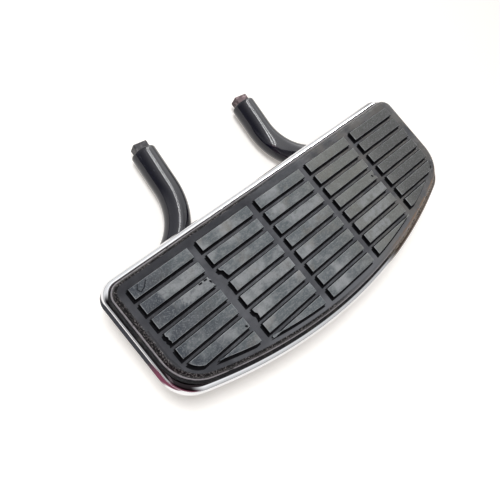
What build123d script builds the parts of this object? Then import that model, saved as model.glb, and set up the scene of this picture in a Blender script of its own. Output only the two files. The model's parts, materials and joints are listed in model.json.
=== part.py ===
from build123d import *
import math
import os

# Cruiser motorcycle floorboard: a half-moon chrome pan with a ribbed rubber tread,
# folding on two bent round-bar arms. Millimetres.
# Working frame: X along the board (front of the machine at -X), +Y towards the machine,
# Z up, zero at the middle of the board's length and at the tread's top.
# export_all() shifts the finished solids so that the origin is the mouth of the front
# arm's bolt hole.

# Chrome pan, a pressed tray open underneath
PAN_HALF_LENGTH = 165.0
PAN_INBOARD_Y = 15.5
PAN_OUTBOARD_Y = -110.9
PAN_ARC_RADIUS = 435.0
PAN_INBOARD_CORNER = 14.5
PAN_OUTBOARD_CORNER = 27.0
PAN_WALL = 2.0
PAN_DEPTH = 10.5
PAN_EDGE_RADIUS = 5.0

# Rubber pad, inset from the pan's rim
PAD_INSET_END = 3.9
PAD_INSET_INBOARD = 6.0
PAD_INSET_OUTBOARD = 6.9
PAD_INBOARD_CORNER = 10.6
PAD_OUTBOARD_CORNER = 32.0
PAD_THICKNESS = 6.0
PAD_SHOULDER_RADIUS = 3.5
PAD_LIP_HEIGHT = 1.8
PAD_LIP_WIDTH = 1.0
PAD_LIP_RADIUS = 0.8

# Tread ribs: five columns of bars clipped by a smaller half moon, set in from the pan's rim;
# the rear column's ribs are longer than the others
TREAD_INSET_FRONT = 14.7
TREAD_INSET_REAR = 17.0
TREAD_INSET_INBOARD = 15.5
TREAD_INSET_OUTBOARD = 15.1
REAR_RIB_EXTRA = 2.3
RIB_HEIGHT = 3.0
RIB_WIDTH = 8.17
RIB_COLUMN_GAP = 8.9
RIB_ROW_PITCH = 12.47
RIB_COLUMNS = 5
RIB_ROWS = 8
TREAD_ARC_RADIUS = 393.0
TREAD_OUTBOARD_CORNER = 15.0
SMALLEST_RIB_AREA = 40.0

# Steel plate bonded under the pad; its edge shows all round, past the rubber
PLATE_THICKNESS = 2.0
PLATE_EDGE_END = 2.2
PLATE_EDGE_INBOARD = 0.8
PLATE_EDGE_OUTBOARD = 2.2

# Rubber isolators and the studs that clamp them through the pan, set in from the pan's rim
INBOARD_STUD_FROM_END = 105.0
INBOARD_STUD_FROM_SIDE = 23.5
OUTBOARD_STUD_FROM_END = 43.0
OUTBOARD_STUD_FROM_SIDE = 44.9
STUD_RADIUS = 2.5
STUD_THREAD_SHOWING = 1.2
ISOLATOR_FLANGE = 1.5
ISOLATOR_FLANGE_RADIUS = 10.0
ISOLATOR_NECK_RADIUS = 6.5
ISOLATOR_BORE_CLEARANCE = 0.1
WASHER_THICKNESS = 1.0
WASHER_RADIUS = 7.5
WASHER_CLEARANCE = 0.2
STUD_NUT_HEIGHT = 4.0
STUD_NUT_FLATS = 8.0
THREAD_CLEARANCE = 0.05

# Hinge axis, parallel to the board's length, set in from the pan's inboard side
HINGE_SETBACK = 10.5
HINGE_Z = -52.0

# Hinge brackets welded under the pan
BRACKET_BASE_THICKNESS = 3.0
BRACKET_OUTBOARD_REACH = 37.0
BRACKET_INBOARD_REACH = 4.0
BRACKET_TOE_SEAT = 13.0
EAR_THICKNESS = 5.0
EAR_GAP = 10.0
EAR_RADIUS = 13.0

# Flanged bushes pressed in the ears
BUSH_WALL = 1.5
BUSH_FLANGE = 1.5
BUSH_FLANGE_RADIUS = 11.5
BUSH_RUNNING_CLEARANCE = 0.05
END_FLOAT = 0.3

# Round-bar arms, their free ends set in from the pan's ends
ARM_RADIUS = 11.0
ARM_TOE_DEG = 6.0
FRONT_FREE_INSET = 115.6
REAR_FREE_INSET = 101.1
FRONT_REACH = 89.2
REAR_REACH = 82.0
FRONT_BEND_RADIUS = 60.5
REAR_BEND_RADIUS = 48.5
FRONT_LEG = 4.0
REAR_LEG = 9.5
ARM_END_CHAMFER = 2.0
PIN_RADIUS = 7.0
PIN_THREAD_RADIUS = 6.0
TANG_WIDTH = 13.0
TANG_HEIGHT = 10.5
TANG_LENGTH = 7.0
TANG_EDGE = 0.8
BOLT_HOLE_RADIUS = 3.4
BOLT_HOLE_DEPTH = 24.0

# Stop toe on each arm, under the bracket's base
TOE_WIDTH = 10.0
TOE_SET_IN = 1.0
TOE_ROOT_RADIUS = 9.5
TOE_REACH = 27.0
TOE_PAD = 9.0
TOE_PAD_DEPTH = 5.0
TOE_CLEARANCE = 0.3

# Retaining washer and nut on each pin
PIVOT_WASHER_THICKNESS = 2.0
PIVOT_WASHER_RADIUS = 12.0
PIVOT_NUT_HEIGHT = 8.0
PIVOT_NUT_FLATS = 18.0
PIVOT_NUT_CHAMFER = 1.0
PIVOT_THREAD_SHOWING = 1.5

# Places worked out from the sizes above
TREAD_LENGTH = 2 * PAN_HALF_LENGTH - TREAD_INSET_FRONT - TREAD_INSET_REAR - REAR_RIB_EXTRA
TREAD_FRONT_X = TREAD_INSET_FRONT - PAN_HALF_LENGTH
TREAD_INBOARD_Y = PAN_INBOARD_Y - TREAD_INSET_INBOARD
TREAD_OUTBOARD_Y = PAN_OUTBOARD_Y + TREAD_INSET_OUTBOARD
RIB_LENGTH = (TREAD_LENGTH - (RIB_COLUMNS - 1) * RIB_COLUMN_GAP) / RIB_COLUMNS
RIB_COLUMN_PITCH = RIB_LENGTH + RIB_COLUMN_GAP
HINGE_Y = PAN_INBOARD_Y - HINGE_SETBACK
INBOARD_STUD_X = PAN_HALF_LENGTH - INBOARD_STUD_FROM_END
INBOARD_STUD_Y = PAN_INBOARD_Y - INBOARD_STUD_FROM_SIDE
OUTBOARD_STUD_X = PAN_HALF_LENGTH - OUTBOARD_STUD_FROM_END
OUTBOARD_STUD_Y = PAN_OUTBOARD_Y + OUTBOARD_STUD_FROM_SIDE
STUD_PLACES = [
    (-INBOARD_STUD_X, INBOARD_STUD_Y),
    (INBOARD_STUD_X, INBOARD_STUD_Y),
    (-OUTBOARD_STUD_X, OUTBOARD_STUD_Y),
    (OUTBOARD_STUD_X, OUTBOARD_STUD_Y),
]

# Levels worked out from the sizes above
PAD_TOP = -RIB_HEIGHT
PAD_FOOT = PAD_TOP - PAD_THICKNESS
PLATE_FOOT = PAD_FOOT - PLATE_THICKNESS
PAN_TOP = PLATE_FOOT - ISOLATOR_FLANGE
PAN_UNDERSIDE = PAN_TOP - PAN_WALL
PAN_FOOT = PAN_TOP - PAN_DEPTH
BRACKET_FOOT = PAN_UNDERSIDE - BRACKET_BASE_THICKNESS
ISOLATOR_FOOT = PAN_UNDERSIDE - ISOLATOR_FLANGE
WASHER_FOOT = ISOLATOR_FOOT - WASHER_THICKNESS
STUD_NUT_FOOT = WASHER_FOOT - STUD_NUT_HEIGHT
STUD_FOOT = STUD_NUT_FOOT - STUD_THREAD_SHOWING

# Stations along each pin, counted outwards from the arm's shoulder
EAR_1_START = END_FLOAT + BUSH_FLANGE
EAR_1_END = EAR_1_START + EAR_THICKNESS
EAR_2_START = EAR_1_END + EAR_GAP
EAR_2_END = EAR_2_START + EAR_THICKNESS
PIN_END = EAR_2_END + BUSH_FLANGE + END_FLOAT
PIVOT_WASHER_END = PIN_END + PIVOT_WASHER_THICKNESS
PIVOT_NUT_END = PIVOT_WASHER_END + PIVOT_NUT_HEIGHT
PIVOT_THREAD_END = PIVOT_NUT_END + PIVOT_THREAD_SHOWING


def half_moon(half_length, inboard_y, outboard_y, arc_radius, inboard_corner, outboard_corner):
    """A strip with one straight side, one shallow arc and rounded corners."""
    strip_width = arc_radius
    strip = Pos(0, inboard_y - strip_width / 2) * Rectangle(2 * half_length, strip_width)
    outline = strip & Pos(0, outboard_y + arc_radius) * Circle(arc_radius)
    corners = outline.vertices().sort_by(Axis.Y)
    outline = fillet(corners[:2], outboard_corner)
    if inboard_corner > 0:
        corners = outline.vertices().sort_by(Axis.Y)
        outline = fillet(corners[-2:], inboard_corner)
    return outline


def pan_outline(inset):
    """The pan's half moon drawn in all round."""
    return half_moon(
        PAN_HALF_LENGTH - inset,
        PAN_INBOARD_Y - inset,
        PAN_OUTBOARD_Y + inset,
        PAN_ARC_RADIUS - inset,
        PAN_INBOARD_CORNER - inset,
        PAN_OUTBOARD_CORNER - inset,
    )


def pad_outline(end_inset, inboard_inset, outboard_inset):
    """The pad's half moon, drawn in by its own amount at the ends and at each side."""
    return half_moon(
        PAN_HALF_LENGTH - PAD_INSET_END - end_inset,
        PAN_INBOARD_Y - PAD_INSET_INBOARD - inboard_inset,
        PAN_OUTBOARD_Y + PAD_INSET_OUTBOARD + outboard_inset,
        PAN_ARC_RADIUS - PAD_INSET_OUTBOARD - outboard_inset,
        PAD_INBOARD_CORNER - end_inset,
        PAD_OUTBOARD_CORNER - end_inset,
    )


def slab(outline, foot, top):
    """The outline as a solid between two levels."""
    return extrude(Pos(0, 0, foot) * outline, amount=top - foot, dir=(0, 0, 1))


def round_top(solid, radius):
    """Round the edges of the highest face."""
    return fillet(solid.faces().sort_by(Axis.Z)[-1].edges(), radius)


def base_pan():
    """Pressed tray: flat top, rounded rim, skirt all round, holes for the isolators."""
    outside = round_top(slab(pan_outline(0), PAN_FOOT, PAN_TOP), PAN_EDGE_RADIUS)
    inside = slab(pan_outline(PAN_WALL), PAN_FOOT, PAN_UNDERSIDE)
    pan = outside - round_top(inside, PAN_EDGE_RADIUS - PAN_WALL)
    for x, y in STUD_PLACES:
        pan -= disc(x, y, PAN_FOOT, PAN_TOP, ISOLATOR_NECK_RADIUS)
    return pan


def disc(x, y, foot, top, radius):
    """Upright round solid between two levels."""
    return slab(Pos(x, y) * Circle(radius), foot, top)


def tread_outline():
    """The tread's half moon, run on at the rear by the extra length of the last ribs."""
    half_length = TREAD_LENGTH / 2
    outline = half_moon(
        half_length,
        TREAD_INBOARD_Y,
        TREAD_OUTBOARD_Y,
        TREAD_ARC_RADIUS,
        0,
        TREAD_OUTBOARD_CORNER,
    )
    middle = TREAD_FRONT_X + half_length
    return Pos(middle) * outline + Pos(middle + REAR_RIB_EXTRA) * outline


def tread_ribs():
    """Flat outlines of the ribs, each clipped by the tread's half moon."""
    limit = tread_outline()
    ribs = []
    for column in range(RIB_COLUMNS):
        length = RIB_LENGTH
        if column == RIB_COLUMNS - 1:
            length += REAR_RIB_EXTRA
        x = TREAD_FRONT_X + column * RIB_COLUMN_PITCH + length / 2
        for row in range(RIB_ROWS):
            y = TREAD_INBOARD_Y - row * RIB_ROW_PITCH - RIB_WIDTH / 2
            rib = Pos(x, y) * Rectangle(length, RIB_WIDTH) & limit
            if rib is not None and rib.area > SMALLEST_RIB_AREA:
                ribs.append(rib)
    return ribs


def rubber_pad():
    """Moulded pad: thin lip at the foot, rounded shoulder, flat sheet with raised ribs."""
    lip = slab(pad_outline(0, 0, 0), PAD_FOOT, PAD_FOOT + PAD_LIP_HEIGHT)
    body_outline = pad_outline(PAD_LIP_WIDTH, PAD_LIP_WIDTH, PAD_LIP_WIDTH)
    body = round_top(slab(body_outline, PAD_FOOT, PAD_TOP), PAD_SHOULDER_RADIUS)
    pad = round_top(lip, PAD_LIP_RADIUS) + body
    ribs = [slab(rib, PAD_TOP, PAD_TOP + RIB_HEIGHT) for rib in tread_ribs()]
    return pad + ribs


def pad_plate():
    """Flat steel plate under the rubber, standing a little out of it."""
    outline = pad_outline(-PLATE_EDGE_END, -PLATE_EDGE_INBOARD, -PLATE_EDGE_OUTBOARD)
    return slab(outline, PLATE_FOOT, PAD_FOOT)


def pad_stud(x, y):
    """Weld stud under the plate."""
    return disc(x, y, STUD_FOOT, PLATE_FOOT, STUD_RADIUS)


def isolator(x, y):
    """Rubber spool: a flange each side of the pan and a neck through its hole."""
    spool = disc(x, y, PAN_TOP, PLATE_FOOT, ISOLATOR_FLANGE_RADIUS)
    spool += disc(x, y, PAN_UNDERSIDE, PAN_TOP, ISOLATOR_NECK_RADIUS)
    spool += disc(x, y, ISOLATOR_FOOT, PAN_UNDERSIDE, ISOLATOR_FLANGE_RADIUS)
    bore = STUD_RADIUS + ISOLATOR_BORE_CLEARANCE
    return spool - disc(x, y, ISOLATOR_FOOT, PLATE_FOOT, bore)


def pad_washer(x, y):
    """Flat washer under an isolator."""
    washer = disc(x, y, WASHER_FOOT, ISOLATOR_FOOT, WASHER_RADIUS)
    return washer - disc(x, y, WASHER_FOOT, ISOLATOR_FOOT, STUD_RADIUS + WASHER_CLEARANCE)


def pad_nut(x, y):
    """Hexagon nut on a stud."""
    hexagon = Pos(x, y) * RegularPolygon(STUD_NUT_FLATS / 2, 6, major_radius=False)
    nut = slab(hexagon, STUD_NUT_FOOT, WASHER_FOOT)
    return nut - disc(x, y, STUD_NUT_FOOT, WASHER_FOOT, STUD_RADIUS + THREAD_CLEARANCE)


class Arm:
    """One bent arm: where its centre line runs and which way its pin points."""

    def __init__(self, side, free_inset, reach, bend_radius, leg):
        """side is -1 for the front arm, whose pin points to -X, and +1 for the rear."""
        toe = math.radians(ARM_TOE_DEG)
        self.side = side
        free_x = side * (PAN_HALF_LENGTH - free_inset)
        self.free_end = Vector(free_x, HINGE_Y + reach, HINGE_Z)
        self.inward = Vector(-math.sin(toe), -math.cos(toe), 0)
        bend_depth = bend_radius * (1 + side * math.sin(toe))
        straight = (reach - bend_depth) / math.cos(toe)
        self.bend_start = self.free_end + self.inward * straight
        bend_end_x = self.bend_start.X + side * bend_radius * math.cos(toe)
        self.bend_end = Vector(bend_end_x, HINGE_Y, HINGE_Z)
        self.shoulder = self.bend_end + Vector(side * leg, 0, 0)

    def pin_disc(self, start, end, radius):
        """Round solid on the hinge axis, between two stations outwards of the shoulder."""
        plane = Plane(origin=self.station(start), z_dir=(self.side, 0, 0))
        return extrude(plane * Circle(radius), amount=end - start)

    def station(self, distance):
        """A point on the hinge axis, outwards of the shoulder."""
        return self.shoulder + Vector(self.side * distance, 0, 0)

    def side_plate(self, profile, start, end):
        """A profile drawn in Y and Z, as a plate between two stations."""
        low = min(self.station(start).X, self.station(end).X)
        return extrude(Plane.YZ.offset(low) * profile, amount=end - start)


def tang_face(arm):
    """Centre of the tang's end, where the bolt goes in."""
    return arm.free_end - arm.inward * TANG_LENGTH


def arm_solid(arm):
    """Bent bar with a keyed and tapped free end, a stop toe and a turned-down pin."""
    centre_line = Line(arm.free_end, arm.bend_start)
    centre_line += TangentArc(arm.bend_start, arm.bend_end, tangent=arm.inward)
    centre_line += Line(arm.bend_end, arm.shoulder)
    end_plane = Plane(origin=arm.free_end, x_dir=(-arm.inward.Y, arm.inward.X, 0), z_dir=arm.inward)
    bar = sweep(end_plane * Circle(ARM_RADIUS), path=centre_line)
    free_rim = bar.edges().filter_by(GeomType.CIRCLE).sort_by(Axis.Y)[-1]
    bar = chamfer(free_rim, ARM_END_CHAMFER)
    key = end_plane.offset(-TANG_LENGTH) * Rectangle(TANG_WIDTH, TANG_HEIGHT)
    tang = extrude(key, amount=TANG_LENGTH + ARM_END_CHAMFER)
    tang = chamfer(tang.faces().sort_by(Axis.Y)[-1].edges(), TANG_EDGE)
    bolt_hole = extrude(end_plane.offset(-TANG_LENGTH) * Circle(BOLT_HOLE_RADIUS), amount=BOLT_HOLE_DEPTH)
    pin = arm.pin_disc(-ARM_RADIUS, PIN_END, PIN_RADIUS)
    thread = arm.pin_disc(-ARM_RADIUS, PIVOT_THREAD_END, PIN_THREAD_RADIUS)
    toe = arm.side_plate(toe_profile(), -TOE_WIDTH - TOE_SET_IN, -TOE_SET_IN)
    return bar + tang + pin + thread + toe - bolt_hole


def toe_profile():
    """Tapered finger from the bar up to the underside of the bracket's base."""
    top = BRACKET_FOOT - TOE_CLEARANCE
    root = Pos(HINGE_Y, HINGE_Z) * Circle(TOE_ROOT_RADIUS)
    pad = Pos(HINGE_Y - TOE_REACH, top - TOE_PAD_DEPTH / 2) * Rectangle(TOE_PAD, TOE_PAD_DEPTH)
    return make_hull(root.edges() + pad.edges())


def ear_profile():
    """Ear outline: the width of the base, drawn down tangent to a round end."""
    width = BRACKET_OUTBOARD_REACH + BRACKET_INBOARD_REACH
    middle = HINGE_Y + (BRACKET_INBOARD_REACH - BRACKET_OUTBOARD_REACH) / 2
    level = PAN_UNDERSIDE - BRACKET_BASE_THICKNESS / 2
    root = Pos(middle, level) * Rectangle(width, BRACKET_BASE_THICKNESS)
    round_end = Pos(HINGE_Y, HINGE_Z) * Circle(EAR_RADIUS)
    return root, make_hull(root.edges() + round_end.edges())


def hinge_bracket(arm):
    """Base plate with two ears, bored for the bushes; the base runs inwards over the toe."""
    root, ear = ear_profile()
    bracket = arm.side_plate(root, -BRACKET_TOE_SEAT, EAR_2_END)
    bracket += arm.side_plate(ear, EAR_1_START, EAR_1_END)
    bracket += arm.side_plate(ear, EAR_2_START, EAR_2_END)
    return bracket - arm.pin_disc(EAR_1_START, EAR_2_END, PIN_RADIUS + BUSH_WALL)


def bush(arm, barrel_start, barrel_end, flange_start, flange_end):
    """Flanged bush: barrel in an ear, flange on its outer face, bored for the pin."""
    body = arm.pin_disc(barrel_start, barrel_end, PIN_RADIUS + BUSH_WALL)
    body += arm.pin_disc(flange_start, flange_end, BUSH_FLANGE_RADIUS)
    low = min(barrel_start, flange_start)
    high = max(barrel_end, flange_end)
    return body - arm.pin_disc(low, high, PIN_RADIUS + BUSH_RUNNING_CLEARANCE)


def pivot_washer(arm):
    """Washer between the outer bush and the nut."""
    washer = arm.pin_disc(PIN_END, PIVOT_WASHER_END, PIVOT_WASHER_RADIUS)
    return washer - arm.pin_disc(PIN_END, PIVOT_WASHER_END, PIN_THREAD_RADIUS + WASHER_CLEARANCE)


def pivot_nut(arm):
    """Hexagon nut on the pin's thread, with its outer corners turned off."""
    plane = Plane(origin=arm.station(PIVOT_WASHER_END), z_dir=(arm.side, 0, 0))
    hexagon = plane * RegularPolygon(PIVOT_NUT_FLATS / 2, 6, major_radius=False)
    nut = extrude(hexagon, amount=PIVOT_NUT_HEIGHT)
    corner_radius = PIVOT_NUT_FLATS / 2 / math.cos(math.pi / 6)
    turned = arm.pin_disc(PIVOT_WASHER_END, PIVOT_NUT_END, corner_radius)
    outer_rim = turned.edges().filter_by(GeomType.CIRCLE).sort_by_distance(arm.station(PIVOT_THREAD_END))[0]
    nut &= chamfer(outer_rim, PIVOT_NUT_CHAMFER)
    return nut - arm.pin_disc(PIVOT_WASHER_END, PIVOT_NUT_END, PIN_THREAD_RADIUS + THREAD_CLEARANCE)


def build():
    """Every node by name, in the working frame."""
    nodes = {"base_pan": base_pan(), "rubber_pad": rubber_pad(), "pad_plate": pad_plate()}
    for number, (x, y) in enumerate(STUD_PLACES, start=1):
        nodes[f"pad_stud_{number}"] = pad_stud(x, y)
        nodes[f"isolator_{number}"] = isolator(x, y)
        nodes[f"pad_washer_{number}"] = pad_washer(x, y)
        nodes[f"pad_nut_{number}"] = pad_nut(x, y)
    for name, arm in ARMS.items():
        nodes[f"{name}_arm"] = arm_solid(arm)
        nodes[f"{name}_hinge_bracket"] = hinge_bracket(arm)
        nodes[f"{name}_inner_bush"] = bush(arm, EAR_1_START, EAR_1_END, END_FLOAT, EAR_1_START)
        outer_flange_end = EAR_2_END + BUSH_FLANGE
        nodes[f"{name}_outer_bush"] = bush(arm, EAR_2_START, EAR_2_END, EAR_2_END, outer_flange_end)
        nodes[f"{name}_pivot_washer"] = pivot_washer(arm)
        nodes[f"{name}_pivot_nut"] = pivot_nut(arm)
    return nodes


def export_all(nodes):
    """Shift every node to the part's origin and write it."""
    os.makedirs("parts", exist_ok=True)
    origin = tang_face(ARMS["front"])
    for name, solid in nodes.items():
        moved = Pos(-origin.X, -origin.Y, -origin.Z) * solid
        export_step(moved, f"parts/{name}.step")


ARMS = {
    "front": Arm(-1, FRONT_FREE_INSET, FRONT_REACH, FRONT_BEND_RADIUS, FRONT_LEG),
    "rear": Arm(1, REAR_FREE_INSET, REAR_REACH, REAR_BEND_RADIUS, REAR_LEG),
}

export_all(build())
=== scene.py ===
"""Looks of a folding motorcycle floorboard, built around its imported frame.

The board frame used below is in millimetres: X along the board to its rear, Y towards the machine,
Z up, zero at the middle of the board, the inboard edge of the tread and the top of its ribs.
"""
import json
import logging
import math
from abc import ABC, abstractmethod
from dataclasses import dataclass, field, replace
from enum import Enum
from typing import Iterable, Sequence

import bmesh
import bpy
from bmesh.types import BMesh, BMLayerItem, BMVert
from bpy.types import ID, Material, Mesh, Node, NodeSocket, NodeTree, Object, World
from mathutils import Matrix, Vector
from mathutils.geometry import delaunay_2d_cdt


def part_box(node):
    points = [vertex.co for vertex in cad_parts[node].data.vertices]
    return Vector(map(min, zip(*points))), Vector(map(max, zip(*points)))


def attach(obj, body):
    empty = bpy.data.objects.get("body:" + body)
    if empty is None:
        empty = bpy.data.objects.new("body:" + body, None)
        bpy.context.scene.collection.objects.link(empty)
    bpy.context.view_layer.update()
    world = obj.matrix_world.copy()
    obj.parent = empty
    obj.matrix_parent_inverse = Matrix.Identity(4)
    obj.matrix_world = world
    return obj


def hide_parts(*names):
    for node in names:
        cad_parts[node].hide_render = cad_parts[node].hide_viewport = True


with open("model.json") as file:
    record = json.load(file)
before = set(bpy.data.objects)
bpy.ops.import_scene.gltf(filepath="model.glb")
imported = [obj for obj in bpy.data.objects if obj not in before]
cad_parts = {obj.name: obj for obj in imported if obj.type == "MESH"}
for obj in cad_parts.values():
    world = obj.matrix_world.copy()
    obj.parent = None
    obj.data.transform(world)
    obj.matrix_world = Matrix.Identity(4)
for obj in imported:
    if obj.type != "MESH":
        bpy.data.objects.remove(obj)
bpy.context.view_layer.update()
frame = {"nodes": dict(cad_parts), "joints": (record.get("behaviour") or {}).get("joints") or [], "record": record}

log = logging.getLogger("floorboard")

MM = 0.001
# Vertices of one shell that lie closer than this, in metres, are one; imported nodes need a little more.
WELD_DISTANCE = 1e-7
PACKED_WELD_DISTANCE = 1e-6
SHARP_ANGLE = math.radians(32)
FLAT_ANGLE = math.radians(0.5)
EDGE_ROUND_MM = 0.3
WHITE = "#ffffff"

# How coarse each octave of noise stays, and how far a shift moves a pattern along each axis.
NOISE_ROUGHNESS = 0.6
SHIFT_WAY = (1.0, 0.7, 0.3)
# The noise that makes strokes wander, and shares of a stroke's width at which it ends and is whole.
WANDER_SCALE = 0.6
WANDER_DETAIL = 3.0
STROKE_END = 0.6
STROKE_WHOLE = 0.3
# How far the roughness of dusty parts runs either side of its named value.
ROUGHNESS_BELOW = 0.06
ROUGHNESS_ABOVE = 0.12

Point2 = tuple[float, float]
Colour = tuple[float, float, float, float]
Chain = tuple[Point2, ...]


class Body(Enum):
    """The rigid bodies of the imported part."""

    ARMS = "arms"
    BOARD = "board"


class Slot(Enum):
    """The material slots of the record."""

    TREAD = "tread_rubber"
    CHROME = "chrome"
    COAT = "black_powder_coat"
    PLATE = "plate_steel"
    PAINT = "black_paint"
    ZINC = "zinc_steel"
    ISOLATOR = "isolator_rubber"
    BUSH = "bush_nylon"


class End(Enum):
    """The two ends of the board, by their way along X."""

    FRONT = -1
    REAR = 1


class Axis(Enum):
    """The axes, by the names of a vector's outputs."""

    X = "X"
    Y = "Y"
    Z = "Z"


X, Y, Z = Axis


def linear(hex_colour: str) -> Colour:
    """Turn an sRGB hex colour into linear light.

    Args:
        hex_colour: six hex digits after a hash.

    Returns:
        Red, green, blue and an alpha of one.
    """
    channels = [int(hex_colour[i:i + 2], 16) / 255 for i in (1, 3, 5)]
    light = [c / 12.92 if c <= 0.04045 else ((c + 0.055) / 1.055) ** 2.4 for c in channels]
    return (light[0], light[1], light[2], 1.0)


def emptied(owner: Material | World) -> NodeTree:
    """Clear the node tree of a material or world.

    Args:
        owner: the material or world.

    Returns:
        Its tree.
    """
    owner.use_nodes = True
    owner.node_tree.nodes.clear()
    return owner.node_tree


def add_node(tree: NodeTree, kind: str, links: dict[str | int, object] | None = None,
             **settings: object) -> Node:
    """Add a node with its settings and its inputs.

    Args:
        tree: shader or geometry tree that takes the node.
        kind: Blender's type name of the node.
        links: input name or index, to an output socket, a node for its first output, an sRGB hex
            colour or a plain value.
        settings: properties of the node itself.

    Returns:
        The new node.
    """
    made = tree.nodes.new(kind)
    for name, value in settings.items():
        setattr(made, name, value)
    for key, value in (links or {}).items():
        source = value.outputs[0] if isinstance(value, Node) else value
        if isinstance(source, NodeSocket):
            tree.links.new(source, made.inputs[key])
        elif isinstance(source, str) and source.startswith("#"):
            made.inputs[key].default_value = linear(source)
        else:
            made.inputs[key].default_value = source
    return made


@dataclass(frozen=True)
class BoardFrame:
    """Where the board frame lies in the part's frame."""

    origin: Vector

    @staticmethod
    def from_cad(tread_inset: float) -> "BoardFrame":
        """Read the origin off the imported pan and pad.

        Args:
            tread_inset: distance from the pan's inboard side to the tread, in millimetres.

        Returns:
            The board frame.
        """
        pan_low, pan_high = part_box("base_pan")
        pad_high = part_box("rubber_pad")[1]
        return BoardFrame(Vector(((pan_low.x + pan_high.x) / 2, pan_high.y - tread_inset * MM, pad_high.z)))

    def place(self, x: float, y: float, z: float) -> Vector:
        """Turn board millimetres into a point of the part's frame."""
        return self.origin + Vector((x, y, z)) * MM

    def lay(self, points: Iterable[Point2], level: float) -> list[Vector]:
        """Turn board points of one level into points of the part's frame."""
        return [self.place(x, y, level) for x, y in points]

    def coordinates(self, tree: NodeTree) -> NodeSocket:
        """Add nodes that give a shader its place on the board in millimetres.

        Args:
            tree: shader tree that takes the nodes.

        Returns:
            The vector socket to read patterns from.
        """
        source = add_node(tree, "ShaderNodeTexCoord")
        offset = tuple(-c / MM for c in self.origin)
        return add_node(tree, "ShaderNodeMapping", {
            "Vector": source.outputs["Object"], "Location": offset, "Scale": (1 / MM,) * 3}).outputs[0]


# Rings in each turn of a thread, and rings over which it fades out at each end.
RINGS_PER_PITCH = 8
RUN_OUT_RINGS = 5
# Millimetres: the tread's inboard edge from the pan's, the middle of the ribs from the board's, and how
# much longer the last column of ribs is than the others.
TREAD_INSET = 15.5
TREAD_MIDDLE = -2.3
LAST_RIB_EXTRA = 2.3
BOARD = BoardFrame.from_cad(TREAD_INSET)


class Pattern(ABC):
    """Something that a shader draws as nodes, once for all its uses."""

    @abstractmethod
    def draw(self, shader: "Shader") -> NodeSocket:
        """Add the nodes to a shader and give the socket of their result."""


class Shader:
    """The tree of a new material, with its place on the board in millimetres and its facing."""

    def __init__(self, name: str) -> None:
        """Start a material.

        Args:
            name: the finish's plain name.
        """
        self.material = bpy.data.materials.new(name)
        self.tree = emptied(self.material)
        self.place = BOARD.coordinates(self.tree)
        self.facing = self.add("ShaderNodeTexCoord").outputs["Normal"]
        self.drawn: dict[Pattern, NodeSocket] = {}

    def add(self, kind: str, links: dict[str | int, object] | None = None, **settings: object) -> Node:
        """Add a node to this material; see add_node."""
        return add_node(self.tree, kind, links, **settings)

    def socket(self, value: object) -> object:
        """Draw a pattern, once for all its uses, and leave any other value as it is.

        Args:
            value: a pattern, or anything that a node's input takes.

        Returns:
            The pattern's socket, or the value.
        """
        if not isinstance(value, Pattern):
            return value
        if value not in self.drawn:
            self.drawn[value] = value.draw(self)
        return self.drawn[value]


@dataclass(frozen=True)
class Patches(Pattern):
    """Soft patches of noise of about one size, with start as the share outside them and end inside.

    Low and high are the noise levels that give start and end. Detail counts the octaves of finer
    noise, stretch says how much longer a patch is along each axis, and shift sets patterns apart.
    """

    feature_mm: float
    low: float
    high: float
    start: float = 0.0
    end: float = 1.0
    detail: float = 4.0
    stretch: tuple[float, float, float] = (1.0, 1.0, 1.0)
    shift: float = 0.0

    def draw(self, shader: Shader) -> NodeSocket:
        """Add the noise and its range.

        Args:
            shader: the material that takes the nodes.

        Returns:
            The socket of the result.
        """
        moved = shader.add("ShaderNodeMapping", {
            "Vector": shader.place, "Location": tuple(self.shift * w for w in SHIFT_WAY),
            "Scale": tuple(1 / (self.feature_mm * s) for s in self.stretch)})
        noise = shader.add("ShaderNodeTexNoise", {
            "Vector": moved, "Scale": 1.0, "Detail": self.detail, "Roughness": NOISE_ROUGHNESS})
        return shader.add("ShaderNodeMapRange", {
            "Value": noise, "From Min": self.low, "From Max": self.high, "To Min": self.start,
            "To Max": self.end}, interpolation_type="SMOOTHSTEP").outputs[0]


@dataclass(frozen=True)
class Band(Pattern):
    """A share that rises along one axis, from none at low to whole at high, which may be below low.

    It is read from the place on the board, or else from the facing, where one is straight along the axis.
    """

    axis: Axis
    low: float
    high: float
    by_facing: bool = False

    def draw(self, shader: Shader) -> NodeSocket:
        """Add the axis and its range.

        Args:
            shader: the material that takes the nodes.

        Returns:
            The socket of the result.
        """
        parts = shader.add("ShaderNodeSeparateXYZ", {0: shader.facing if self.by_facing else shader.place})
        return shader.add("ShaderNodeMapRange", {
            "Value": parts.outputs[self.axis.value], "From Min": self.low, "From Max": self.high},
            interpolation_type="SMOOTHSTEP").outputs[0]


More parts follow.
